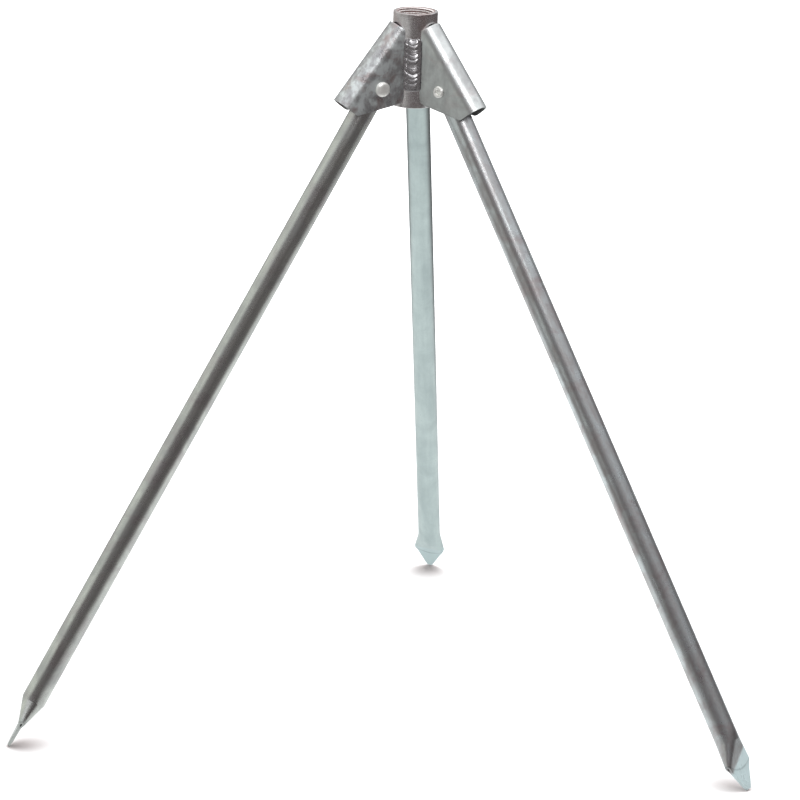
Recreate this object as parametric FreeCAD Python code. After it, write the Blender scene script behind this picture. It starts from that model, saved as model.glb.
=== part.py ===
"""A folding three-legged stand: a threaded pipe socket, three welded brackets and three riveted tube legs.

Millimetres, +Z up. The origin is on the socket axis, where the upper thread begins just below the rim.
Each piece is built with its radial direction along +X and is then turned to its place around the axis.
"""
import FreeCAD
import Part
import math
import os
from FreeCAD import Vector

os.makedirs("parts", exist_ok=True)

# threaded socket: a steel pipe stub, tapped with a 1 inch parallel pipe thread from both ends
STUB_OD = 40.0
STUB_LENGTH = 85.0
STUB_EDGE_CHAMFER = 0.6
THREAD_PITCH = 2.309
THREAD_MAJOR_D = 33.249
THREAD_FLANK_DEG = 27.5
THREAD_ROOT_FLAT = 0.08
THREAD_LENGTH = 25.0
TAP_DRILL_D = 30.8
MOUTH_CHAMFER = 1.2

# legs: round tube, hung on a cross rivet, with the lower end pressed flat and cut to a point
LEG_AZIMUTHS = {"rear": 90.0, "left": 210.0, "right": 330.0}
LEG_OD = 22.0
LEG_WALL = 1.5
LEG_LENGTH = 689.0
LEG_ANGLE_DEG = 30.8
FOOT_TURNS_DEG = {"rear": 12.0, "left": 23.0, "right": 8.0}
PIVOT_STANDOFF = 16.4
PIVOT_DROP = 66.8
STOP_GAP = 0.05
FLAT_WIDTH = 33.4
FLAT_THICKNESS = 3.2
FLAT_LENGTH = 20.0
PRESS_LENGTH = 26.0
PRESS_SECTIONS = 7
PRESS_EASE = 1.0
SECTION_POINTS = 32
SQUARENESS = 0.45
SEAM_GAP = 0.2
TIP_WIDTH = 5.0
TIP_LENGTH = 29.0

# brackets: folded sheet channels with a half-round back that leans out more than the leg does
SHEET = 1.5
CHEEK_GAP = 0.3
BACK_ANGLE_DEG = 38.0
BACK_START_STANDOFF = -19.5
BACK_TOP_DROP = 8.5
BACK_BOTTOM_DROP = 76.5
CHEEK_BOTTOM_DROP = 82.7
CHEEK_BOTTOM_STANDOFF = 7.0
CHEEK_BOTTOM_SLOPE_DEG = 11.4
LOBE_ROUND = 5.0
HEEL_ROUND = 9.0
HEEL_INSET = 0.3

# rivets: domed head on one cheek, rolled tubular tail on the other
RIVET_D = 8.0
RIVET_CLEARANCE = 0.05
HEAD_D = 13.7
HEAD_LIP = 0.5
HEAD_HEIGHT = 3.6
TAIL_D = 10.5
TAIL_ROLL_D = 3.4
TAIL_BASE = 0.9

# weld beads: overlapping ripples that fill the valleys between neighbouring brackets
WELD_AZIMUTHS = {"front": 270.0, "rear_left": 150.0, "rear_right": 30.0}
WELD_TOP_DROP = 21.5
WELD_BOTTOM_DROP = 69.5
WELD_RIPPLES = 7
WELD_HEIGHT = 3.7
WELD_OVERLAP = 0.6

# sizes that follow from the ones above
STUB_R = STUB_OD / 2
RIM_Z = MOUTH_CHAMFER
BORE_R = TAP_DRILL_D / 2
MAJOR_R = THREAD_MAJOR_D / 2
LEG_R = LEG_OD / 2
INNER_HALF = LEG_R + CHEEK_GAP
OUTER_HALF = INNER_HALF + SHEET
PIVOT_RADIUS = STUB_R + PIVOT_STANDOFF
PIVOT = Vector(PIVOT_RADIUS, 0, RIM_Z - PIVOT_DROP)
LEG_COS = math.cos(math.radians(LEG_ANGLE_DEG))
LEG_SIN = math.sin(math.radians(LEG_ANGLE_DEG))
LEG_ABOVE_PIVOT = (PIVOT_RADIUS - LEG_R * LEG_COS - STUB_R - STOP_GAP) / LEG_SIN
LEG_BELOW_PIVOT = LEG_LENGTH - LEG_ABOVE_PIVOT
BACK_COS = math.cos(math.radians(BACK_ANGLE_DEG))
BACK_SIN = math.sin(math.radians(BACK_ANGLE_DEG))
# neighbouring brackets are a third of a turn apart, so each cheek face stands 60 degrees off the bead's radius
CHEEK_TO_BEAD = math.radians(60)
VALLEY_HALF = STUB_R * math.sin(CHEEK_TO_BEAD - math.asin(OUTER_HALF / STUB_R))

X_AXIS = Vector(1, 0, 0)
Y_AXIS = Vector(0, 1, 0)
Z_AXIS = Vector(0, 0, 1)
CENTRE = Vector(0, 0, 0)


def turned(shape, azimuth):
    """A copy of a piece, turned from +X to its azimuth around the socket axis."""
    copy = shape.copy()
    copy.rotate(CENTRE, Z_AXIS, azimuth)
    return copy


def rounded_outline(corners):
    """A closed XZ wire through (x, z, rounding radius) corners."""
    count = len(corners)
    points = [Vector(x, 0, z) for x, z, _ in corners]
    edges = []
    last = None
    first = None
    for i in range(count):
        here = points[i]
        to_previous = (points[i - 1] - here).normalize()
        to_next = (points[(i + 1) % count] - here).normalize()
        radius = corners[i][2]
        if radius > 0:
            half = to_previous.getAngle(to_next) / 2
            reach = radius / math.tan(half)
            start = here + to_previous * reach
            end = here + to_next * reach
            middle_direction = (to_previous + to_next).normalize()
            middle = here + middle_direction * (radius / math.sin(half) - radius)
            arc = Part.Arc(start, middle, end).toShape()
        else:
            start = here
            end = here
            arc = None
        if last is not None:
            edges.append(Part.makeLine(last, start))
        else:
            first = start
        if arc is not None:
            edges.append(arc)
        last = end
    edges.append(Part.makeLine(last, first))
    return Part.Wire(edges)


def thread_cutter():
    """The helical groove of the upper thread, run out past the rim."""
    height = THREAD_LENGTH + MOUTH_CHAMFER + THREAD_PITCH
    helix = Part.makeHelix(THREAD_PITCH, height, BORE_R)
    helix.translate(Vector(0, 0, -THREAD_LENGTH))
    inner_r = BORE_R - (MAJOR_R - BORE_R) / 8
    root_half = THREAD_ROOT_FLAT / 2
    inner_half = root_half + (MAJOR_R - inner_r) * math.tan(math.radians(THREAD_FLANK_DEG))
    profile = Part.makePolygon([
        Vector(inner_r, 0, -THREAD_LENGTH - inner_half),
        Vector(MAJOR_R, 0, -THREAD_LENGTH - root_half),
        Vector(MAJOR_R, 0, -THREAD_LENGTH + root_half),
        Vector(inner_r, 0, -THREAD_LENGTH + inner_half),
        Vector(inner_r, 0, -THREAD_LENGTH - inner_half),
    ])
    return helix.makePipeShell([profile], True, True)


def threaded_socket():
    bottom_z = RIM_Z - STUB_LENGTH
    body = Part.makeCylinder(STUB_R, STUB_LENGTH, Vector(0, 0, bottom_z))
    rims = [e for e in body.Edges if isinstance(e.Curve, Part.Circle)]
    body = body.makeChamfer(STUB_EDGE_CHAMFER, rims)
    body = body.cut(Part.makeCylinder(BORE_R, STUB_LENGTH, Vector(0, 0, bottom_z)))
    mouth = Part.makeCone(BORE_R, BORE_R + MOUTH_CHAMFER, MOUTH_CHAMFER)
    upper_groove = thread_cutter()
    middle = Vector(0, 0, RIM_Z - STUB_LENGTH / 2)
    for tool in (mouth, upper_groove):
        lower_tool = tool.copy()
        lower_tool.rotate(middle, X_AXIS, 180)
        body = body.cut(tool)
        body = body.cut(lower_tool)
    return body


def back_point(drop, outward):
    """The (r, z) point of the back, at a drop below the rim where outward is 0 on its axis line."""
    radius = STUB_R + BACK_START_STANDOFF + drop * BACK_SIN / BACK_COS
    return radius + outward * BACK_COS, RIM_Z - drop + outward * BACK_SIN


def axis_drop(outer_drop):
    """The drop on the back's axis line that is level, along the back, with a drop on its outer surface."""
    return outer_drop + OUTER_HALF * BACK_SIN


def bracket():
    top_drop = axis_drop(BACK_TOP_DROP)
    bottom_drop = axis_drop(BACK_BOTTOM_DROP)
    top_x, top_z = back_point(top_drop, 0)
    bottom_x, bottom_z = back_point(bottom_drop, 0)
    back_length = math.hypot(bottom_x - top_x, bottom_z - top_z)

    back = Part.makeCylinder(OUTER_HALF, back_length)
    back = back.cut(Part.makeCylinder(INNER_HALF, back_length))
    keep = Part.makeBox(OUTER_HALF * 2, OUTER_HALF * 4, back_length, Vector(0, -OUTER_HALF * 2, 0))
    back = back.common(keep)
    back.translate(Vector(0, 0, -back_length))
    back.rotate(CENTRE, Y_AXIS, -BACK_ANGLE_DEG)
    back.translate(Vector(top_x, 0, top_z))

    # the lobe corner is where the end cut, carried on inward, meets the cheek's sloping bottom edge
    slope = math.tan(math.radians(CHEEK_BOTTOM_SLOPE_DEG))
    end_fall = BACK_SIN / BACK_COS
    edge_z = RIM_Z - CHEEK_BOTTOM_DROP + slope * (STUB_R + CHEEK_BOTTOM_STANDOFF)
    lobe_x = (edge_z - bottom_z + end_fall * bottom_x) / (end_fall + slope)
    heel_x = math.sqrt(STUB_R ** 2 - OUTER_HALF ** 2) - HEEL_INSET
    crease_x = max(top_x, heel_x)
    corners = [
        (crease_x, top_z - (crease_x - top_x) / end_fall, 0),
        (bottom_x, bottom_z, 0),
        (lobe_x, edge_z - slope * lobe_x, LOBE_ROUND),
        (heel_x, edge_z - slope * heel_x, HEEL_ROUND),
    ]
    if top_x > heel_x:
        corners.append((heel_x, top_z - (top_x - heel_x) * end_fall, 0))
    outline = rounded_outline(corners)
    shape = back
    for side in (-1, 1):
        cheek = Part.Face(outline).extrude(Vector(0, SHEET, 0))
        start = INNER_HALF if side > 0 else -OUTER_HALF
        cheek.translate(Vector(0, start, 0))
        shape = shape.fuse(cheek)
    shape = shape.removeSplitter()

    rivet_hole = Part.makeCylinder(RIVET_D / 2, OUTER_HALF * 4, PIVOT - Y_AXIS * OUTER_HALF * 2, Y_AXIS)
    pipe = Part.makeCylinder(STUB_R, STUB_LENGTH * 2, Vector(0, 0, -STUB_LENGTH * 1.5))
    return shape.cut(rivet_hole).cut(pipe)


def rivet():
    """Head on the +Y cheek, tail on the -Y cheek, turned to the pivot axis."""
    shape = Part.makeCylinder(RIVET_D / 2, OUTER_HALF * 2, Vector(0, 0, -OUTER_HALF))
    head_r = HEAD_D / 2
    lip = Part.makeCylinder(head_r, HEAD_LIP, Vector(0, 0, OUTER_HALF))
    cap_height = HEAD_HEIGHT - HEAD_LIP
    ball_r = (head_r ** 2 + cap_height ** 2) / (2 * cap_height)
    dome_base = OUTER_HALF + HEAD_LIP
    dome = Part.makeSphere(ball_r, Vector(0, 0, dome_base + cap_height - ball_r))
    dome = dome.common(Part.makeCylinder(ball_r, cap_height, Vector(0, 0, dome_base)))
    tail_r = TAIL_D / 2
    roll_r = TAIL_ROLL_D / 2
    tail_z = -OUTER_HALF - TAIL_BASE
    base = Part.makeCylinder(tail_r, TAIL_BASE, Vector(0, 0, tail_z))
    roll = Part.makeTorus(tail_r - roll_r, roll_r, Vector(0, 0, tail_z))
    roll = roll.common(Part.makeCylinder(tail_r * 2, roll_r + TAIL_BASE, Vector(0, 0, tail_z - roll_r)))
    for piece in (lip, dome, base, roll):
        shape = shape.fuse(piece)
    shape = shape.removeSplitter()
    shape.rotate(CENTRE, X_AXIS, -90)
    shape.translate(PIVOT)
    return shape


def weld_bead():
    """Ripples between two cheek faces and the pipe, centred on +X."""
    half_reach = VALLEY_HALF + WELD_OVERLAP
    ball_r = (half_reach ** 2 + WELD_HEIGHT ** 2) / (2 * WELD_HEIGHT)
    ball_x = STUB_R + WELD_HEIGHT - ball_r
    first_z = RIM_Z - WELD_TOP_DROP - half_reach
    last_z = RIM_Z - WELD_BOTTOM_DROP + half_reach
    step = (last_z - first_z) / (WELD_RIPPLES - 1)
    bead = None
    for i in range(WELD_RIPPLES):
        ball = Part.makeSphere(ball_r, Vector(ball_x, 0, first_z + step * i))
        bead = ball if bead is None else bead.fuse(ball)
    apex_x = OUTER_HALF / math.sin(CHEEK_TO_BEAD)
    far_x = STUB_OD
    far_y = (far_x - apex_x) * math.tan(CHEEK_TO_BEAD)
    low = -STUB_LENGTH * 1.5
    valley = Part.Face(Part.makePolygon([
        Vector(apex_x, 0, low),
        Vector(far_x, far_y, low),
        Vector(far_x, -far_y, low),
        Vector(apex_x, 0, low),
    ])).extrude(Vector(0, 0, STUB_LENGTH * 2))
    pipe = Part.makeCylinder(STUB_R, STUB_LENGTH * 2, Vector(0, 0, low))
    return bead.common(valley).cut(pipe)


def pressed_section(half_width, half_thickness, blend, z):
    """A closed section between a circle (blend 0) and a flat-sided slot (blend 1)."""
    if blend == 0:
        return Part.Wire([Part.Circle(Vector(0, 0, z), Z_AXIS, half_width).toShape()])
    points = []
    power = 1.0 - SQUARENESS * blend
    for i in range(SECTION_POINTS):
        angle = 2 * math.pi * i / SECTION_POINTS
        c = math.cos(angle)
        s = math.sin(angle)
        x = half_thickness * math.copysign(abs(c) ** power, c)
        y = half_width * math.copysign(abs(s) ** power, s)
        points.append(Vector(x, y, z))
    curve = Part.BSplineCurve()
    curve.interpolate(points, PeriodicFlag=True)
    return Part.Wire([curve.toShape()])


def pressed_loft(inset, top_z):
    """The part of the leg that goes from round to flat, moved in by the tube wall when inset is its wall."""
    wires = []
    for i in range(PRESS_SECTIONS):
        t = i / (PRESS_SECTIONS - 1)
        ease = t ** PRESS_EASE
        half_width = LEG_R + (FLAT_WIDTH / 2 - LEG_R) * ease
        half_thickness = LEG_R + (FLAT_THICKNESS / 2 - LEG_R) * ease
        half_thickness = max(half_thickness - inset, SEAM_GAP / 2)
        wires.append(pressed_section(half_width - inset, half_thickness, ease, top_z - PRESS_LENGTH * t))
    return Part.makeLoft(wires, True, False)


def sheared(shape, bottom):
    """Two straight shears leave a blunt point; above the blade they open the ends of the folded tube."""
    splay = (FLAT_WIDTH - TIP_WIDTH) / 2 / TIP_LENGTH
    low = bottom - TIP_WIDTH
    high = bottom + TIP_LENGTH * 1.5
    for side in (-1, 1):
        low_y = side * (TIP_WIDTH / 2 + splay * (low - bottom))
        high_y = side * (TIP_WIDTH / 2 + splay * (high - bottom))
        waste = Part.Face(Part.makePolygon([
            Vector(-LEG_OD, low_y, low),
            Vector(-LEG_OD, high_y, high),
            Vector(-LEG_OD, side * FLAT_WIDTH * 2, high),
            Vector(-LEG_OD, side * FLAT_WIDTH * 2, low),
            Vector(-LEG_OD, low_y, low),
        ])).extrude(Vector(LEG_OD * 2, 0, 0))
        shape = shape.cut(waste)
    return shape


def leg(foot_turn):
    """Built hanging straight down from the pivot, then swung out to its angle; the foot is turned in the tube."""
    flat_top = -LEG_BELOW_PIVOT + FLAT_LENGTH
    press_top = flat_top + PRESS_LENGTH
    round_length = LEG_ABOVE_PIVOT - press_top
    tube = Part.makeCylinder(LEG_R, round_length, Vector(0, 0, press_top))
    bore = Part.makeCylinder(LEG_R - LEG_WALL, round_length, Vector(0, 0, press_top))
    bottom = -LEG_BELOW_PIVOT
    corner = Vector(-FLAT_THICKNESS / 2, -FLAT_WIDTH / 2, bottom)
    blade = Part.makeBox(FLAT_THICKNESS, FLAT_WIDTH, FLAT_LENGTH, corner)
    outside = sheared(pressed_loft(0, press_top), bottom)
    inside = sheared(pressed_loft(LEG_WALL, press_top), bottom)
    shape = tube.fuse(outside).fuse(sheared(blade, bottom)).cut(bore.fuse(inside))
    shape.rotate(CENTRE, Z_AXIS, -foot_turn)
    hole = Part.makeCylinder(RIVET_D / 2 + RIVET_CLEARANCE, LEG_OD * 2, Vector(0, -LEG_OD, 0), Y_AXIS)
    shape = shape.cut(hole)
    shape.rotate(CENTRE, Y_AXIS, -LEG_ANGLE_DEG)
    shape.translate(PIVOT)
    return shape


def export(name, shape):
    if isinstance(shape, Part.Compound) and len(shape.Solids) == 1:
        shape = shape.Solids[0]
    shape.exportStep(os.path.join("parts", name + ".step"))
    box = shape.BoundBox
    print(f"{name}: {len(shape.Solids)} solid, valid {shape.isValid()}, {shape.Volume:.1f} mm3,"
          f" x {box.XMin:.2f}..{box.XMax:.2f}, y {box.YMin:.2f}..{box.YMax:.2f}, z {box.ZMin:.2f}..{box.ZMax:.2f}")


export("threaded_socket", threaded_socket())
one_bracket = bracket()
one_rivet = rivet()
for place, azimuth in LEG_AZIMUTHS.items():
    export("bracket_" + place, turned(one_bracket, azimuth))
    export("pivot_rivet_" + place, turned(one_rivet, azimuth))
    export("leg_" + place, turned(leg(FOOT_TURNS_DEG[place]), azimuth))
one_bead = weld_bead()
for place, azimuth in WELD_AZIMUTHS.items():
    export("weld_bead_" + place, turned(one_bead, azimuth))
print(f"leg above pivot {LEG_ABOVE_PIVOT:.3f}, pivot {PIVOT.x:.3f} {PIVOT.z:.3f}")
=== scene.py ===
# Looks of the folding three-legged stand: finer meshes and zinc-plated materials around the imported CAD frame.

import math
import random

import bpy
import bmesh
from mathutils import Matrix, Vector


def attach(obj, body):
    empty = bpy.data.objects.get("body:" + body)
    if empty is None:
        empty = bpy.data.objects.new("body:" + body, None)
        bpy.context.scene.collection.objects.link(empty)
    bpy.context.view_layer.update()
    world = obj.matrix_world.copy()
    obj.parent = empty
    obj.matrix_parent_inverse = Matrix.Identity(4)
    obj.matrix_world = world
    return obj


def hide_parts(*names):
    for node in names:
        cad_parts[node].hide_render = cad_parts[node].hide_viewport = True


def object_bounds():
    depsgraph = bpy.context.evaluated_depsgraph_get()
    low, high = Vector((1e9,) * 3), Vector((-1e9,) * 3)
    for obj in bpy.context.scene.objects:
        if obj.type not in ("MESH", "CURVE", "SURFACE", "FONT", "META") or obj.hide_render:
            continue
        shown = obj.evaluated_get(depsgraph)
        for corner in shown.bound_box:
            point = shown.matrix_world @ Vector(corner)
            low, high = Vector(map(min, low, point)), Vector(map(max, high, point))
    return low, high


MM = 0.001

# ---------------------------------------------------------------- sizes, in millimetres, as in the CAD part
STUB_R = 20.0
STUB_LENGTH = 85.0
RIM_Z = 1.2
BORE_R = 15.4
MAJOR_R = 16.62
PITCH = 2.309
THREAD_LENGTH = 25.0

LEG_R = 11.0
LEG_WALL = 1.5
LEG_LENGTH = 689.0
LEG_ANGLE = 30.8
LEG_ABOVE = 13.478
LEG_BELOW = LEG_LENGTH - LEG_ABOVE
PIVOT_R = 36.4
PIVOT_Z = RIM_Z - 66.8
FLAT_HALF = 16.7
BLADE_HALF = 1.58
SEAM_HALF = 0.09
FLAT_LENGTH = 20.0
PRESS_LENGTH = 26.0
TIP_HALF = 2.5
TIP_LENGTH = 29.0
FOOT_TURNS = {"rear": 12.0, "left": 23.0, "right": 8.0}

SHEET = 1.5
MID_HALF = 12.05
OUTER_HALF = MID_HALF + SHEET / 2
BACK_ANGLE = math.radians(38.0)
BACK_START_R = 0.5
BACK_TOP_DROP = 8.5
BACK_BOTTOM_DROP = 76.5
CHEEK_BOTTOM = (27.0, RIM_Z - 82.7)
CHEEK_SLOPE = 11.4
HEEL_X = 15.067
LOBE_ROUND = 5.0
HEEL_ROUND = 9.0

# offset of a bracket's crease along the inward normal of its back
CREASE_DROP = BACK_TOP_DROP + OUTER_HALF * math.sin(BACK_ANGLE)
CREASE_OFFSET = (-math.cos(BACK_ANGLE) * (BACK_START_R + CREASE_DROP * math.tan(BACK_ANGLE))
                 - math.sin(BACK_ANGLE) * (RIM_Z - CREASE_DROP))

WELD_TOP = RIM_Z - 21.5
WELD_BOTTOM = RIM_Z - 69.5

LEGS = {"rear": 90.0, "left": 210.0, "right": 330.0}
WELDS = {"front": 270.0, "rear_left": 150.0, "rear_right": 30.0}


# ---------------------------------------------------------------- mesh helpers
def mesh_object(name, verts, faces, matrix=None, sharp=35.0):
    """A cleaned mesh object from millimetre points."""
    mesh = bpy.data.meshes.new(name)
    mesh.from_pydata([(x * MM, y * MM, z * MM) for x, y, z in verts], [], faces)
    bm = bmesh.new()
    bm.from_mesh(mesh)
    bmesh.ops.remove_doubles(bm, verts=bm.verts, dist=2e-6)
    bmesh.ops.dissolve_degenerate(bm, edges=bm.edges, dist=1e-6)
    bmesh.ops.recalc_face_normals(bm, faces=bm.faces)
    bm.to_mesh(mesh)
    bm.free()
    mesh.shade_smooth()
    mesh.set_sharp_from_angle(angle=math.radians(sharp))
    # shaders read the piece's own frame from this attribute; the mesh itself sits in the row frame
    own = mesh.attributes.new("own", "FLOAT_VECTOR", "POINT")
    own.data.foreach_set("vector", [c for v in mesh.vertices for c in v.co])
    if matrix is not None:
        mesh.transform(matrix)
    obj = bpy.data.objects.new(name, mesh)
    bpy.context.scene.collection.objects.link(obj)
    return obj


def applied(obj, sharp=35.0):
    """Turns an object's modifiers into its mesh."""
    graph = bpy.context.evaluated_depsgraph_get()
    mesh = bpy.data.meshes.new_from_object(obj.evaluated_get(graph))
    obj.modifiers.clear()
    obj.data = mesh
    mesh.shade_smooth()
    mesh.set_sharp_from_angle(angle=math.radians(sharp))
    return obj


def turn(azimuth):
    return Matrix.Rotation(math.radians(azimuth), 4, "Z")


def grid_faces(rows, columns, wrap):
    """Quads of a rows by columns grid of points, closed across the columns when wrap is set."""
    faces = []
    last = columns if wrap else columns - 1
    for i in range(rows - 1):
        for j in range(last):
            k = (j + 1) % columns
            faces.append((i * columns + j, i * columns + k, (i + 1) * columns + k, (i + 1) * columns + j))
    return faces


def revolve(profile, segments):
    """Points and quads of a profile of (radius, height), turned about Z."""
    verts = []
    for radius, height in profile:
        for j in range(segments):
            angle = 2 * math.pi * j / segments
            verts.append((radius * math.cos(angle), radius * math.sin(angle), height))
    return verts, grid_faces(len(profile), segments, True)


def smooth(t):
    t = min(1.0, max(0.0, t))
    return t * t * (3 - 2 * t)


def arc_points(centre, radius, start, end, count):
    """Points on an arc, angles in degrees."""
    points = []
    for i in range(count + 1):
        angle = math.radians(start + (end - start) * i / count)
        points.append((centre[0] + radius * math.cos(angle), centre[1] + radius * math.sin(angle)))
    return points


# ---------------------------------------------------------------- meshes
def thread_radius(z, angle):
    """Wall radius of the bore, tapped from both ends, with rounded crests and roots and a run-out."""
    upper = z > -STUB_LENGTH / 2
    depth = -z if upper else z + STUB_LENGTH - 2 * RIM_Z
    hand = 1 if upper else -1
    phase = (hand * depth / PITCH + angle / (2 * math.pi)) % 1.0
    wave = 0.5 - 0.5 * math.cos(2 * math.pi * phase)
    wave = smooth(wave * 1.35 - 0.12)
    runout = smooth((THREAD_LENGTH - depth) / PITCH)
    radius = BORE_R + (MAJOR_R - BORE_R) * wave * runout
    if depth < 0:
        radius = max(radius, BORE_R - depth)
    return radius


def socket_mesh():
    columns = 160
    per_turn = 14
    top = RIM_Z
    bottom = RIM_Z - STUB_LENGTH
    first = int((bottom / PITCH) * per_turn) - 2 * per_turn
    last = int((top / PITCH) * per_turn) + 2 * per_turn
    rows = last - first + 1
    verts = []
    for i in range(rows):
        for j in range(columns):
            angle = 2 * math.pi * j / columns
            z = ((first + i) / per_turn + j / columns) * PITCH
            z = min(top, max(bottom, z))
            radius = thread_radius(z, angle)
            verts.append((radius * math.cos(angle), radius * math.sin(angle), z))
    faces = []
    for i in range(rows - 1):
        for j in range(columns):
            shift = per_turn if j == columns - 1 else 0
            k = (j + 1) % columns
            if i + 1 + shift < rows:
                faces.append((i * columns + j, (i + 1) * columns + j,
                              (i + 1 + shift) * columns + k, (i + shift) * columns + k))
    # the mouths and the outer wall
    edge = 0.6
    profile = []
    for k in range(6):
        a = math.radians(90 - 90 * k / 5)
        profile.append((STUB_R - edge + edge * math.cos(a), top - edge + edge * math.sin(a)))
    outer_rows = 24
    for k in range(1, outer_rows):
        profile.append((STUB_R, top - edge + (bottom + 2 * edge - top) * k / outer_rows))
    for k in range(6):
        a = math.radians(-90 * k / 5)
        profile.append((STUB_R - edge + edge * math.cos(a), bottom + edge + edge * math.sin(a)))
    base = len(verts)
    for radius, z in profile:
        for j in range(columns):
            angle = 2 * math.pi * j / columns
            verts.append((radius * math.cos(angle), radius * math.sin(angle), z))
    faces += [tuple(base + v for v in f) for f in grid_faces(len(profile), columns, True)]
    # flat rings that join the bore to the outer wall; every clamped bore point of a column lies on the rim
    for rim, row in ((top, rows - 1), (bottom, 0)):
        ring = base if rim == top else base + (len(profile) - 1) * columns
        for j in range(columns):
            k = (j + 1) % columns
            faces.append((row * columns + j, row * columns + k, ring + k, ring + j))
    return mesh_object("stand_socket", verts, faces, sharp=40.0)


def oval(share, half_width, half_thick):
    """The point at a share of the girth of a slot-shaped section."""
    flat = half_width - half_thick
    fold = math.pi * half_thick
    along = share * (4 * flat + 2 * fold)
    if along < flat:
        return half_thick, along
    if along < flat + fold:
        a = (along - flat) / half_thick
        return half_thick * math.cos(a), flat + half_thick * math.sin(a)
    if along < 3 * flat + fold:
        return -half_thick, 2 * flat + fold - along
    if along < 3 * flat + 2 * fold:
        a = (along - 3 * flat - fold) / half_thick
        return -half_thick * math.cos(a), -flat - half_thick * math.sin(a)
    return half_thick, along - 4 * flat - 2 * fold


def tube_point(share, height, inset):
    """The tube's skin at a height above its tip, moved in by inset: a slot below, round above the press."""
    blend = min(1.0, max(0.0, (FLAT_LENGTH + PRESS_LENGTH - height) / PRESS_LENGTH))
    half_width = LEG_R + (FLAT_HALF - LEG_R) * blend - inset
    half_thick = max(LEG_R + (BLADE_HALF - LEG_R) * blend - inset, SEAM_HALF)
    x, y = oval(share, half_width, half_thick)
    if inset:
        # the walls meet in the middle first, and stay open longest at the two folds
        shut = smooth((blend - 0.45) / 0.25)
        x *= 1 - shut * (1 - min(1.0, abs(y) / half_width) ** 4)
    return x, y


def cut_height(share, inset):
    """Height above the tip at which the shears cut the skin."""
    splay = (FLAT_HALF - TIP_HALF) / TIP_LENGTH
    low = 0.0
    high = TIP_LENGTH
    if abs(tube_point(share, 0.0, inset)[1]) <= TIP_HALF:
        return 0.0
    for _ in range(40):
        middle = (low + high) / 2
        if abs(tube_point(share, middle, inset)[1]) > TIP_HALF + splay * middle:
            low = middle
        else:
            high = middle
    return low


def leg_shares():
    """Positions round the tube, close together at the two folds and at the corners of the blunt tip."""
    flat = FLAT_HALF - BLADE_HALF
    fold = math.pi * BLADE_HALF
    girth = 4 * flat + 2 * fold
    marks = [0.0, TIP_HALF * 0.5, TIP_HALF]
    marks += [TIP_HALF + (flat - TIP_HALF) * k / 14 for k in range(1, 15)]
    shares = [m / girth for m in marks]
    shares += [(flat + fold * k / 16) / girth for k in range(1, 8)]
    quarter = shares + [0.25]
    half = quarter + [0.5 - q for q in reversed(shares)]
    return half + [0.5 + h for h in half[1:-1]]


def leg_mesh(place, azimuth, seed):
    """One leg in its own frame: the pivot at the origin, the tube along Z, its pressed foot across Y."""
    shares = leg_shares()
    count = len(shares)
    rng = random.Random(seed)
    press_top = FLAT_LENGTH + PRESS_LENGTH
    press_rows = 44
    tube_rows = 60
    # the drawn tube is not quite even
    wander = [rng.uniform(-0.02, 0.02) for _ in range(tube_rows + 1)]
    rows = []

    def skin(inset):
        """Rows from the sheared edge up to the round part."""
        cuts = [cut_height(share, inset) for share in shares]
        found = []
        for i in range(press_rows + 1):
            row = []
            for share, cut in zip(shares, cuts):
                height = cut + (press_top - cut) * i / press_rows
                x, y = tube_point(share, height, inset)
                # the shears pinch the outer skin over the last few millimetres
                pinch = 1.0 if inset else 0.80 + 0.20 * smooth(height / 6.0)
                row.append((x * pinch, y, height - LEG_BELOW))
            found.append(row)
        return found

    def round_row(radius, height):
        return [(*oval(share, radius, radius), height - LEG_BELOW) for share in shares]

    # outside, from the shears to the top edge, then back down the inside
    rows += skin(0.0)
    for i in range(1, tube_rows + 1):
        height = press_top + (LEG_LENGTH - 0.4 - press_top) * i / tube_rows
        rows.append(round_row(LEG_R - 0.03 + wander[i], height))
    inner = LEG_R - LEG_WALL
    for radius, drop in ((LEG_R - 0.12, 0.12), (LEG_R - 0.4, 0.0), (inner + 0.25, 0.0), (inner, 0.3)):
        rows.append(round_row(radius, LEG_LENGTH - drop))
    for height in (LEG_LENGTH - 40.0, LEG_LENGTH - 200.0, LEG_LENGTH - 400.0):
        rows.append(round_row(inner, height))
    rows += list(reversed(skin(LEG_WALL)))
    # the sheared faces, with rows close to both edges so that these stay crisp
    outside = rows[0]
    inside = rows[-1]
    for inner_share in (0.9, 0.5, 0.1):
        rows.append([tuple(a * inner_share + b * (1 - inner_share) for a, b in zip(p, q))
                     for p, q in zip(inside, outside)])
    verts = [p for row in rows for p in row]
    faces = grid_faces(len(rows), count, True)
    last = (len(rows) - 1) * count
    for j in range(count):
        k = (j + 1) % count
        faces.append((last + j, last + k, k, j))
    place_matrix = (turn(azimuth) @ Matrix.Translation(Vector((PIVOT_R, 0, PIVOT_Z)) * MM)
                    @ Matrix.Rotation(math.radians(-LEG_ANGLE), 4, "Y")
                    @ Matrix.Rotation(math.radians(-FOOT_TURNS[place]), 4, "Z"))
    return mesh_object("stand_leg_" + place, verts, faces, place_matrix, sharp=32.0)


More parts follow.
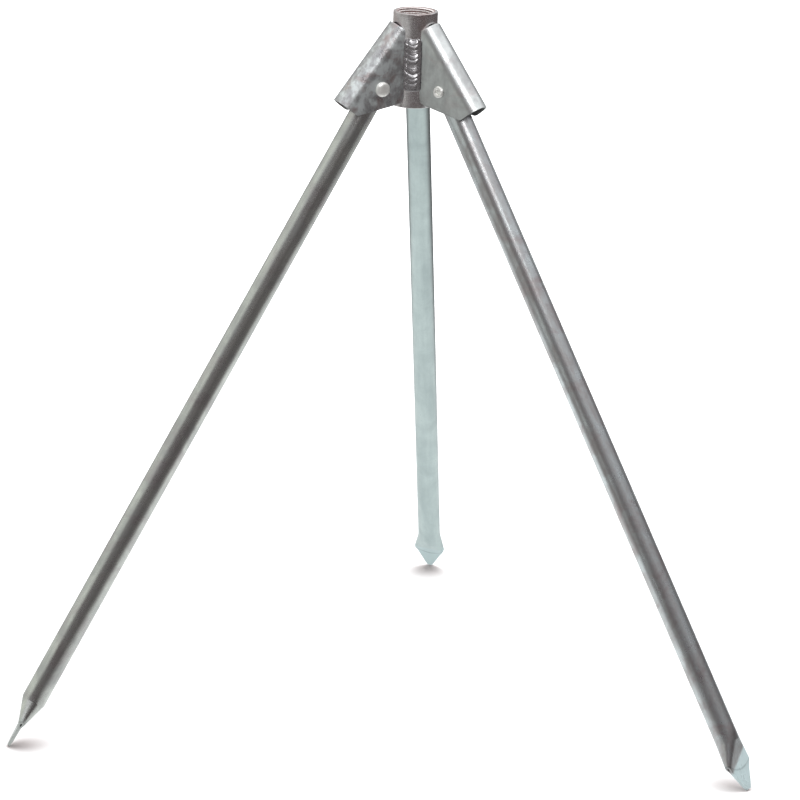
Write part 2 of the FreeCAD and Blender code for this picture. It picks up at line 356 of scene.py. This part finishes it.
def bracket_mesh(place, azimuth):
    """A folded channel: two cheeks on a half-round back, as a mid surface given its sheet thickness."""
    cos_b = math.cos(BACK_ANGLE)
    sin_b = math.sin(BACK_ANGLE)
    down = Vector((sin_b, -cos_b))
    inward = Vector((-cos_b, -sin_b))

    def back_point(outer_drop):
        drop = outer_drop + OUTER_HALF * sin_b
        return Vector((BACK_START_R + drop * sin_b / cos_b, RIM_Z - drop))

    def to_strip(point):
        offset = Vector(point) - top
        return offset.dot(down), offset.dot(inward)

    top = back_point(BACK_TOP_DROP)
    low = back_point(BACK_BOTTOM_DROP)
    # the cheek's free edge from the top crease, down the pipe, round the heel and out to the lobe
    fall = math.tan(math.radians(CHEEK_SLOPE))
    rise = sin_b / cos_b
    lobe_x = (CHEEK_BOTTOM[1] + fall * CHEEK_BOTTOM[0] - low.y + low.x * rise) / (rise + fall)
    lobe = Vector((lobe_x, CHEEK_BOTTOM[1] - fall * (lobe_x - CHEEK_BOTTOM[0])))
    heel = Vector((HEEL_X, CHEEK_BOTTOM[1] - fall * (HEEL_X - CHEEK_BOTTOM[0])))
    slope = -CHEEK_SLOPE
    heel_turn = 90 + slope
    reach = HEEL_ROUND * math.tan(math.radians(heel_turn / 2))
    heel_centre = (heel.x + HEEL_ROUND, heel.y + reach)
    free = [(heel.x, top.y - 0.6), (heel.x, -30), (heel.x, -50)]
    free += arc_points(heel_centre, HEEL_ROUND, 180, 180 + heel_turn, 10)
    end_direction = math.degrees(BACK_ANGLE)
    lobe_turn = end_direction - slope
    reach = LOBE_ROUND * math.tan(math.radians(lobe_turn / 2))
    along = Vector((math.cos(math.radians(slope)), math.sin(math.radians(slope))))
    normal = Vector((-along.y, along.x))
    lobe_centre = lobe - along * reach + normal * LOBE_ROUND
    free += arc_points(lobe_centre, LOBE_ROUND, slope - 90, slope - 90 + lobe_turn, 10)
    strip = [to_strip(p) for p in free]
    strip = [(0.0, 0.0)] + [p for p in strip if p[0] > 0]
    end_s = to_strip(low)[0]

    def edge_at(s):
        for (s0, n0), (s1, n1) in zip(strip, strip[1:]):
            if s0 <= s <= s1 and s1 > s0:
                return n0 + (n1 - n0) * (s - s0) / (s1 - s0)
        return strip[-1][1]

    length_steps = 44
    cheek_steps = 12
    arc_steps = 28
    levels = sorted(set([round(p[0], 4) for p in strip if p[0] < end_s - 0.05]
                        + [round(end_s * i / length_steps, 4) for i in range(length_steps + 1)] + [end_s]))
    verts = []
    for s in levels:
        edge = max(edge_at(s), 0.35)
        axis = top + down * s
        for j in range(cheek_steps):
            p = axis + inward * edge * (1 - j / cheek_steps)
            verts.append((p.x, -MID_HALF, p.y))
        for j in range(arc_steps + 1):
            a = math.radians(-90 + 180 * j / arc_steps)
            p = axis - inward * MID_HALF * math.cos(a)
            verts.append((p.x, MID_HALF * math.sin(a), p.y))
        for j in range(1, cheek_steps + 1):
            p = axis + inward * edge * j / cheek_steps
            verts.append((p.x, MID_HALF, p.y))
    columns = 2 * cheek_steps + arc_steps + 1
    faces = grid_faces(len(levels), columns, False)
    obj = mesh_object("stand_bracket_" + place, verts, faces, turn(azimuth))
    solid = obj.modifiers.new("sheet", "SOLIDIFY")
    solid.thickness = (SHEET - 0.02) * MM
    solid.offset = 0
    solid.use_even_offset = True
    bevel = obj.modifiers.new("edges", "BEVEL")
    bevel.width = 0.28 * MM
    bevel.segments = 2
    bevel.limit_method = "ANGLE"
    bevel.angle_limit = math.radians(60)
    return applied(obj, 35.0)


def weld_mesh(place, azimuth, seed):
    """Crescent ripples laid one over the next in the valley between two cheeks and the pipe."""
    rng = random.Random(seed)
    across = 40
    along = 260
    ripple = 4.4
    half_width = 7.6
    end_round = 4.0
    bow = 4.2
    sunk = 0.35
    back_r = 16.6
    length = WELD_TOP - WELD_BOTTOM
    count = int(length / ripple) + 3
    heights = [rng.uniform(1.1, 1.7) for _ in range(count)]
    sway = rng.uniform(0, 6.28)
    offsets = [rng.uniform(-0.12, 0.12) for _ in range(count)]
    verts = []
    for i in range(along + 1):
        v = i / along
        rise = length * v
        z = WELD_BOTTOM + rise
        end = min(v, 1 - v) * length
        cap = math.sqrt(1 - (1 - min(1.0, end / end_round)) ** 2)
        width = half_width * (0.5 + 0.5 * cap)
        for j in range(across + 1):
            u = -1 + 2 * j / across
            # the torch weaves a little from side to side
            lateral = u - 0.09 * math.sin(rise / 3.1 + sway)
            t = (rise - bow * lateral * lateral) / ripple + 1.5
            index = int(math.floor(t))
            t += offsets[index % count] * math.sin(math.pi * (t - index))
            part = t - math.floor(t)
            # steep at its lower lip, then falling back under the next one
            lip = smooth(part / 0.16)
            fall = (1 - part) ** 0.8
            bump = heights[index % count] * lip * fall
            crown = 1 - abs(u) ** 2.6
            # a notch in the middle of the top end
            notch = 0.9 * math.exp(-((length - rise) / 3.5) ** 2) * math.exp(-(u / 0.35) ** 2)
            height = cap * (crown + bump * (0.4 + 0.6 * crown)) - notch
            y = u * width
            # the pipe's surface in the middle, the cheeks' corners at the sides
            wall = math.sqrt(max(0.0, STUB_R ** 2 - y * y))
            side = 1.6 * max(0.0, abs(u) - 0.62) / 0.38 * cap
            verts.append((wall - sunk + height + side, y, z))
    rows = along + 1
    columns = across + 1
    faces = grid_faces(rows, columns, False)
    # a closed back inside the pipe wall
    base = len(verts)
    verts += [(back_r, y * 0.85, z) for x, y, z in verts[:base]]
    faces += [tuple(base + v for v in reversed(f)) for f in grid_faces(rows, columns, False)]
    for i in range(rows - 1):
        for j in (0, columns - 1):
            a, b = i * columns + j, (i + 1) * columns + j
            faces.append((a, b, base + b, base + a))
    for j in range(columns - 1):
        for i in (0, rows - 1):
            a, b = i * columns + j, i * columns + j + 1
            faces.append((a, b, base + b, base + a))
    return mesh_object("stand_weld_" + place, verts, faces, turn(azimuth), sharp=60.0)


def rivet_mesh(place, azimuth, seed):
    """A domed head on the +Y cheek and a rolled tail with its dimple on the other."""
    rng = random.Random(seed)
    outer = OUTER_HALF
    shank_r = 4.0
    head_r = 6.85
    head_lip = 0.42
    head_dome = 3.18
    tail_r = 5.25
    roll = 1.62
    arc_steps = 12
    segments = 56
    axis_r = 0.02
    profile = [(axis_r, outer + head_lip + head_dome)]
    for k in range(1, arc_steps + 1):
        a = math.radians(90 * k / arc_steps)
        profile.append((head_r * math.sin(a) ** 0.97, outer + head_lip + head_dome * math.cos(a) ** 0.85))
    profile += [(head_r, outer + 0.2), (head_r - 0.15, outer + 0.02), (shank_r, outer)]
    profile += [(shank_r, outer - 0.4), (shank_r, -outer + 0.4), (shank_r, -outer)]
    profile += [(tail_r - 0.2, -outer - 0.01), (tail_r, -outer - 0.3)]
    ring = tail_r - roll
    for k in range(arc_steps + 1):
        a = math.radians(180 * k / arc_steps)
        profile.append((ring + roll * math.cos(a), -outer - 0.9 - roll * 0.92 * math.sin(a)))
    profile += [(ring - roll, -outer - 0.75), (0.9, -outer - 0.35), (axis_r, -outer - 0.3)]
    verts, faces = revolve(profile, segments)
    # the rolled tail is slightly three-cornered
    tilt = rng.uniform(0.0, 6.28)
    moved = []
    for x, y, z in verts:
        if z < -outer - 0.5:
            swell = 1 + 0.035 * math.sin(3 * math.atan2(y, x) + tilt)
            x, y = x * swell, y * swell
        moved.append((x, y, z))
    faces.append(tuple(range(segments)))
    faces.append(tuple(range(len(verts) - segments, len(verts))))
    matrix = (turn(azimuth) @ Matrix.Translation(Vector((PIVOT_R, 0, PIVOT_Z)) * MM)
              @ Matrix.Rotation(math.radians(-90), 4, "X"))
    return mesh_object("stand_rivet_" + place, moved, faces, matrix, sharp=50.0)


# ---------------------------------------------------------------- materials
class Nodes:
    """Short names for building a node tree."""

    def __init__(self, tree):
        self.tree = tree
        tree.nodes.clear()

    def add(self, kind, inputs=None, **settings):
        node = self.tree.nodes.new(kind)
        for key, value in settings.items():
            setattr(node, key, value)
        for key, value in (inputs or {}).items():
            if isinstance(value, bpy.types.NodeSocket):
                self.tree.links.new(value, node.inputs[key])
            else:
                node.inputs[key].default_value = value
        return node

    def math(self, operation, a, b=0.0):
        return self.add("ShaderNodeMath", {0: a, 1: b}, operation=operation).outputs[0]

    def noise(self, vector, scale, detail=4.0, rough=0.55, distortion=0.0):
        return self.add("ShaderNodeTexNoise", {"Vector": vector, "Scale": scale, "Detail": detail,
                                               "Roughness": rough, "Distortion": distortion}).outputs["Fac"]

    def span(self, value, low, high, to_low, to_high):
        """A value carried from one range to another, held at its ends."""
        return self.add("ShaderNodeMapRange", {"Value": value, "From Min": low, "From Max": high,
                                               "To Min": to_low, "To Max": to_high}).outputs[0]

    def ramp(self, factor, stops):
        node = self.add("ShaderNodeValToRGB", {"Fac": factor})
        points = node.color_ramp.elements
        while len(points) < len(stops):
            points.new(0.5)
        for point, (position, color) in zip(points, stops):
            point.position = position
            point.color = color if len(color) == 4 else (*color, 1.0)
        return node.outputs["Color"]

    def mix(self, factor, a, b):
        node = self.add("ShaderNodeMix", {"Factor": factor}, data_type="RGBA")
        for key, value in ((6, a), (7, b)):
            if isinstance(value, bpy.types.NodeSocket):
                self.tree.links.new(value, node.inputs[key])
            else:
                node.inputs[key].default_value = (*value, 1.0)
        return node.outputs[2]


# zinc plating: shares of the cloudy and streaky noises, and how their sum becomes colour and roughness
CLOUD_SHARE = 0.55
STREAK_SHARE = 0.45
STREAK_SCALE = 3.2
GRAIN_SCALE = 14.0
GRAIN_AMOUNT = 0.26
GRAIN_SHADE = 0.55
BLEND_SPAN = 0.17
ROUGH_SPAN = (0.36, 0.64)
STAIN_SPAN = (0.52, 0.68)
RELIEF_DEPTH = 0.0006

# bands of the plating, of the painted highlight along the fold and of the painted shade at the foot's crease,
# in millimetres
FOLD_HIGHLIGHT_SHIFT = 2.5
FOLD_HIGHLIGHT_REACH = 12.0
SATIN_ABOVE_FLAT = 9.0
SATIN_BLUR = 2.0
BEND_CURVE = 0.03
BORE_EDGE_R = 17.4


def painted_fold_light_and_shade(n, own, painted_crease_shading):
    """Painted highlight and shade: the plating is painted palest along the fold and darkest away from it."""
    inward = n.math("ADD", n.math("MULTIPLY", own[0], -math.cos(BACK_ANGLE) / MM),
                    n.math("MULTIPLY", own[2], -math.sin(BACK_ANGLE) / MM))
    away = n.math("ABSOLUTE", n.math("SUBTRACT", inward, CREASE_OFFSET + FOLD_HIGHLIGHT_SHIFT))
    return n.span(away, 0.0, FOLD_HIGHLIGHT_REACH, painted_crease_shading, -0.8 * painted_crease_shading)


def pressed_foot(n, own, color, pressed, lean, metals):
    """The press leaves the foot satin up to a slanting line, with painted shade in a dark line at the crease
    where the tube starts to swell.
    """
    height = n.math("MULTIPLY", n.math("ADD", own[2], LEG_BELOW * MM), 1.0 / MM)
    across = n.math("MULTIPLY", own[1], 1.0 / MM)
    line = n.math("ADD", n.math("MULTIPLY", across, lean), FLAT_LENGTH + SATIN_ABOVE_FLAT)
    satin = n.span(n.math("SUBTRACT", line, height), -SATIN_BLUR, SATIN_BLUR, 0.0, 1.0)
    color = n.mix(satin, color, pressed)
    curve = n.math("MULTIPLY", n.math("MULTIPLY", across, across), BEND_CURVE)
    bend = n.math("ABSOLUTE", n.math("SUBTRACT", height, n.math("ADD", FLAT_LENGTH - 1.0, curve)))
    # painted shade: a dark line along the crease where the tube starts to swell
    painted_crease_shading = n.span(bend, 1.1, 0.3, 0.0, 0.45)
    color = n.mix(painted_crease_shading, color, tuple(c * 0.45 for c in pressed))
    return color, n.span(satin, 0.0, 1.0, *metals)


def cut_bore(n, own, color, bore, metals):
    """Inside the pipe the cut threads are paler and less mirror-like, with dark brownish painted shade in the
    thread roots.
    """
    square = n.math("ADD", n.math("MULTIPLY", own[0], own[0]), n.math("MULTIPLY", own[1], own[1]))
    out_r = n.math("SQRT", square)
    inside = n.math("LESS_THAN", out_r, BORE_EDGE_R * MM)
    # painted shade, darkest in the recessed thread roots
    painted_root_shade = n.span(out_r, (BORE_R + 0.3) * MM, MAJOR_R * MM, 0.0, 1.0)
    thread = n.mix(painted_root_shade, bore, tuple(c * w for c, w in zip(bore, (0.30, 0.20, 0.19))))
    return n.mix(inside, color, thread), n.span(inside, 0.0, 1.0, *metals)


def zinc(name, light, dark, rough, mottle, streak, seed, stain=None, stain_amount=0.0, bump=0.12,
         contrast=0.5, dull=0.0, bore=None, pressed=None, lean=0.0, mirror=1.0, painted_crease_shading=0.0):
    """Zinc plating: cloudy patches, streaks along Z, fine spangle and a soft relief."""
    material = bpy.data.materials.new(name)
    material.use_nodes = True
    n = Nodes(material.node_tree)
    out = n.add("ShaderNodeOutputMaterial")
    shader = n.add("ShaderNodeBsdfPrincipled")
    n.tree.links.new(shader.outputs[0], out.inputs["Surface"])
    shader.inputs["Metallic"].default_value = 1.0 - dull
    where = n.add("ShaderNodeAttribute", attribute_name="own").outputs["Vector"]
    own = n.add("ShaderNodeSeparateXYZ", {0: where}).outputs
    place = (seed, seed * 0.7, seed * 1.3)
    moved = n.add("ShaderNodeMapping", {"Vector": where, "Location": place}).outputs[0]
    long_way = n.add("ShaderNodeMapping", {"Vector": moved, "Scale": (1.0, 1.0, 1.0 / (1.0 + streak * 7.0))})
    clouds = n.noise(moved, mottle, 5.0, 0.6, 0.6)
    streaks = n.noise(long_way.outputs[0], mottle * STREAK_SCALE, 5.0, 0.62)
    grain = n.noise(moved, mottle * GRAIN_SCALE, 3.0, 0.7)
    blend = n.math("ADD", n.math("MULTIPLY", clouds, CLOUD_SHARE), n.math("MULTIPLY", streaks, STREAK_SHARE))
    # painted highlight along the bracket's fold and painted shade away from it, carried into colour and
    # roughness
    if painted_crease_shading:
        blend = n.math("ADD", blend, painted_fold_light_and_shade(n, own, painted_crease_shading))
    reach = BLEND_SPAN / contrast / 2
    color = n.ramp(blend, [(0.5 - reach, dark), (0.5 + reach, light)])
    color = n.mix(n.math("MULTIPLY", grain, GRAIN_AMOUNT), color, tuple(c * GRAIN_SHADE for c in light))
    if stain:
        spot = n.noise(moved, mottle * 0.8, 3.0, 0.5, 1.2)
        color = n.mix(n.math("MULTIPLY", n.span(spot, *STAIN_SPAN, 0.0, 1.0), stain_amount), color, stain)
    if pressed:
        color, metal = pressed_foot(n, own, color, pressed, lean, (1.0 - dull, mirror))
        n.tree.links.new(metal, shader.inputs["Metallic"])
    if bore:
        color, metal = cut_bore(n, own, color, bore, (1.0 - dull, 0.25))
        n.tree.links.new(metal, shader.inputs["Metallic"])
    n.tree.links.new(color, shader.inputs["Base Color"])
    roughness = n.math("ADD", n.span(blend, *ROUGH_SPAN, rough[1], rough[0]), n.math("MULTIPLY", grain, 0.08))
    n.tree.links.new(roughness, shader.inputs["Roughness"])
    relief = n.math("ADD", n.math("MULTIPLY", grain, 0.5), n.math("MULTIPLY", streaks, 0.8))
    bumped = n.add("ShaderNodeBump", {"Height": relief, "Strength": bump, "Distance": RELIEF_DEPTH})
    n.tree.links.new(bumped.outputs[0], shader.inputs["Normal"])
    return material


# name, light and dark plating, roughness of each, mottle scale, streakiness, place in the noise
materials = {
    "leg_rear": zinc(
        "zinc_tube_rear", (0.63, 0.73, 0.72), (0.50, 0.59, 0.59), (0.24, 0.34), 34.0, 1.0, 0.3,
        contrast=0.75, bump=0.12, pressed=(0.53, 0.64, 0.65), mirror=0.8),
    "leg_left": zinc(
        "zinc_tube_left", (0.74, 0.76, 0.72), (0.50, 0.51, 0.50), (0.16, 0.30), 40.0, 1.0, 1.7,
        stain=(0.46, 0.42, 0.43), stain_amount=0.5, contrast=0.8, bump=0.22,
        pressed=(0.50, 0.53, 0.51), mirror=0.75),
    "leg_right": zinc(
        "zinc_tube_right", (0.82, 0.88, 0.89), (0.54, 0.52, 0.52), (0.20, 0.34), 44.0, 1.0, 2.9,
        stain=(0.48, 0.40, 0.40), stain_amount=0.6, contrast=1.0, bump=0.18,
        pressed=(0.52, 0.63, 0.64), lean=0.9, mirror=0.2),
    # the left bracket gets a painted highlight along its fold
    "bracket_left": zinc(
        "zinc_sheet_left", (0.84, 0.89, 0.89), (0.46, 0.46, 0.47), (0.46, 0.22), 70.0, 0.1, 4.1,
        stain=(0.36, 0.27, 0.26), stain_amount=0.7, contrast=1.2, bump=0.35, dull=0.07, painted_crease_shading=0.07),
    "bracket_right": zinc(
        "zinc_sheet_right", (0.72, 0.75, 0.74), (0.52, 0.53, 0.53), (0.26, 0.40), 46.0, 0.2, 5.3,
        stain=(0.52, 0.45, 0.45), stain_amount=0.4, contrast=0.8, bump=0.25),
    "bracket_rear": zinc(
        "zinc_sheet_rear", (0.66, 0.70, 0.69), (0.42, 0.44, 0.44), (0.24, 0.40), 40.0, 0.1, 6.1,
        contrast=0.6, bump=0.14),
    "socket": zinc(
        "zinc_socket", (0.84, 0.81, 0.81), (0.48, 0.44, 0.44), (0.16, 0.30), 50.0, 0.3, 7.7,
        stain=(0.50, 0.37, 0.35), stain_amount=0.5, contrast=0.9, bump=0.25, dull=0.03,
        bore=(0.98, 0.95, 0.94)),
    "weld": zinc(
        "zinc_weld", (0.66, 0.65, 0.66), (0.42, 0.41, 0.42), (0.14, 0.26), 70.0, 0.0, 8.9,
        contrast=0.5, bump=0.04),
    "rivet": zinc(
        "zinc_rivet", (0.97, 0.97, 0.93), (0.74, 0.73, 0.70), (0.26, 0.38), 80.0, 0.0, 9.3,
        contrast=0.8, bump=0.2, dull=0.25),
}


def wear(obj, key):
    obj.data.materials.clear()
    obj.data.materials.append(materials[key])
    return obj


# ---------------------------------------------------------------- the object
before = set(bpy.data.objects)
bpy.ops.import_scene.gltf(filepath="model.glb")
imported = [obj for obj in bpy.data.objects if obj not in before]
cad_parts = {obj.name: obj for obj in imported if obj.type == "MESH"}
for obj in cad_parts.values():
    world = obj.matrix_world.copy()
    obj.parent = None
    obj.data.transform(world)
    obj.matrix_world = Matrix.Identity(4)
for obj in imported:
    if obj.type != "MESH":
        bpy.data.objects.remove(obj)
cad_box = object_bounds()

socket = wear(socket_mesh(), "socket")
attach(socket, "head")
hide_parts("threaded_socket")

for i, (place, azimuth) in enumerate(LEGS.items()):
    bracket = wear(bracket_mesh(place, azimuth), "bracket_" + place)
    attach(bracket, "head")
    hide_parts("bracket_" + place)
    rivet = wear(rivet_mesh(place, azimuth, 30 + i), "rivet")
    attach(rivet, "head")
    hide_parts("pivot_rivet_" + place)
    leg = wear(leg_mesh(place, azimuth, 50 + i), "leg_" + place)
    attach(leg, "leg_" + place)
    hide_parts("leg_" + place)

for i, (place, azimuth) in enumerate(WELDS.items()):
    weld = wear(weld_mesh(place, azimuth, 70 + i), "weld")
    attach(weld, "head")
    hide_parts("weld_bead_" + place)

# ---------------------------------------------------------------- stage, light and camera
FLOOR_Z = cad_box[0][2]
FLOOR_REACH = 30.0
PAPER = (0.92, 0.92, 0.92)
# colour of the painted contact shadow, and the reach of the occlusion that places it
PAINTED_CONTACT_SHADOW = (0.56, 0.51, 0.505)
CONTACT_REACH = 0.04
# what the metal sees of the floor, by half the distance from a point behind the stand, in metres
FLOOR_GLOW = [(0.16, (0.92, 0.94, 0.94)), (0.30, (0.88, 0.90, 0.90)), (0.42, (0.52, 0.52, 0.52)),
              (0.54, (0.26, 0.25, 0.25)), (0.72, (0.14, 0.13, 0.13))]
FLOOR_GLOW_RANGE = 2.0
LEFT_WALL = (0.50, 0.51, 0.50)

# the room by height of the direction: dark, then the foot of the lit ceiling, then its middle
ROOM_TONES = [(0.50, (0.145, 0.130, 0.132)), (0.60, (0.80, 0.82, 0.85)), (0.72, (1.4, 1.4, 1.42))]
ROOM_RIGHT = (0.03, 0.025, 0.025)
ROOM_LEFT = (0.74, 0.76, 0.72)
ROOM_BACK = (0.60, 0.62, 0.62)

CAMERA_POSITION = (0.29705, -3.61727, 0.70280)
CAMERA_TARGET = (-0.00387, -0.00032, -0.36070)
CAMERA_ROLL = 1.670
CAMERA_LENS = 185.88
CAMERA_SENSOR = 36.0


def floor():
    mesh = bpy.data.meshes.new("floor")
    r = FLOOR_REACH
    mesh.from_pydata([(-r, -r, 0), (r, -r, 0), (r, r, 0), (-r, r, 0)], [], [(0, 1, 2, 3)])
    obj = bpy.data.objects.new("floor", mesh)
    obj.location.z = FLOOR_Z
    bpy.context.scene.collection.objects.link(obj)
    material = bpy.data.materials.new("paper")
    material.use_nodes = True
    n = Nodes(material.node_tree)
    out = n.add("ShaderNodeOutputMaterial")
    # painted contact shadow under the feet from ambient occlusion, a little warmer than the paper
    near = n.add("ShaderNodeAmbientOcclusion", {"Distance": CONTACT_REACH}, samples=16).outputs["AO"]
    white = n.add("ShaderNodeBsdfDiffuse", {"Color": n.ramp(near, [(0.66, PAINTED_CONTACT_SHADOW), (0.95, PAPER)])})
    place = n.add("ShaderNodeSeparateXYZ", {0: n.add("ShaderNodeNewGeometry").outputs["Position"]})
    x, y = place.outputs[0], place.outputs[1]
    # reflections see a smaller bright area round the stand, which falls off fastest towards the front
    behind = n.math("SUBTRACT", y, 0.25)
    ahead = n.math("MULTIPLY", n.math("MINIMUM", behind, 0.0), 0.75)
    side = n.math("ADD", x, 0.1)
    square = n.math("ADD", n.math("MULTIPLY", behind, behind), n.math("MULTIPLY", side, side))
    square = n.math("ADD", square, n.math("MULTIPLY", n.math("MULTIPLY", ahead, ahead), 2.0))
    distance = n.math("SQRT", square)
    glow = n.ramp(n.math("DIVIDE", distance, FLOOR_GLOW_RANGE), FLOOR_GLOW)
    glow = n.mix(n.span(x, -0.8, -1.6, 0.0, 1.0), glow, LEFT_WALL)
    mirror = n.add("ShaderNodeEmission", {"Color": glow, "Strength": 1.0})
    # far from the stand the paper is lit more, so that it stays white to the edge of the picture
    far = n.span(distance, 0.7, 2.2, 0.05, 0.75)
    paper = n.add("ShaderNodeEmission", {"Color": (1.0, 1.0, 1.0, 1.0), "Strength": far})
    lit = n.add("ShaderNodeAddShader", {0: white.outputs[0], 1: paper.outputs[0]})
    seen = n.add("ShaderNodeLightPath").outputs["Is Glossy Ray"]
    both = n.add("ShaderNodeMixShader", {0: seen, 1: lit.outputs[0], 2: mirror.outputs[0]})
    n.tree.links.new(both.outputs[0], out.inputs["Surface"])
    mesh.materials.append(material)


def soft_box(name, direction, distance, size, power, target, glossy):
    """A square area light that looks at the target, seen in reflections or not."""
    light = bpy.data.lights.new(name, "AREA")
    light.shape = "RECTANGLE"
    light.size = size
    light.size_y = size
    light.energy = power
    obj = bpy.data.objects.new(name, light)
    way = Vector(direction).normalized()
    obj.location = Vector(target) + way * distance
    obj.rotation_euler = way.to_track_quat("Z", "Y").to_euler()
    obj.visible_glossy = glossy
    bpy.context.scene.collection.objects.link(obj)


def room():
    """Light by direction: a lit ceiling, pale walls on the left and behind, dark in front and right."""
    world = bpy.data.worlds.new("room")
    bpy.context.scene.world = world
    world.use_nodes = True
    n = Nodes(world.node_tree)
    out = n.add("ShaderNodeOutputWorld")
    way = n.add("ShaderNodeSeparateXYZ", {0: n.add("ShaderNodeTexCoord").outputs["Generated"]})
    x, y, z = way.outputs
    # the lit ceiling starts lower behind the stand than in front of it
    rear = n.span(y, -0.15, 0.45, 0.0, 0.17)
    color = n.ramp(n.math("ADD", z, rear), ROOM_TONES)
    right = n.span(x, 0.10, 0.50, 0.0, 0.55)
    low = n.span(z, 0.45, 0.30, 0.0, 1.0)
    color = n.mix(n.math("MULTIPLY", right, low), color, ROOM_RIGHT)
    color = n.mix(n.span(x, -0.52, -0.80, 0.0, 1.0), color, ROOM_LEFT)
    color = n.mix(n.span(y, 0.60, 0.95, 0.0, 1.0), color, ROOM_BACK)
    shade = n.add("ShaderNodeBackground", {"Color": color, "Strength": 1.0})
    n.tree.links.new(shade.outputs[0], out.inputs["Surface"])


def camera():
    data = bpy.data.cameras.new("camera")
    data.sensor_width = CAMERA_SENSOR
    data.lens = CAMERA_LENS
    data.clip_end = 100.0
    obj = bpy.data.objects.new("camera", data)
    bpy.context.scene.collection.objects.link(obj)
    position = Vector(CAMERA_POSITION)
    way = (Vector(CAMERA_TARGET) - position).normalized()
    rotation = way.to_track_quat("-Z", "Y").to_matrix().to_4x4()
    obj.matrix_world = (Matrix.Translation(position) @ rotation
                        @ Matrix.Rotation(math.radians(CAMERA_ROLL), 4, "Z"))
    bpy.context.scene.camera = obj


floor()
room()
soft_box("top", (0.05, 0.30, 1.0), 2.6, 3.0, 72.0, target=(0.0, 0.0, -0.2), glossy=False)
soft_box("key", (0.22, -0.78, 0.58), 1.2, 0.40, 2.6, target=(0.0, 0.0, -0.05), glossy=True)
camera()
bpy.context.scene.view_settings.view_transform = "Standard"
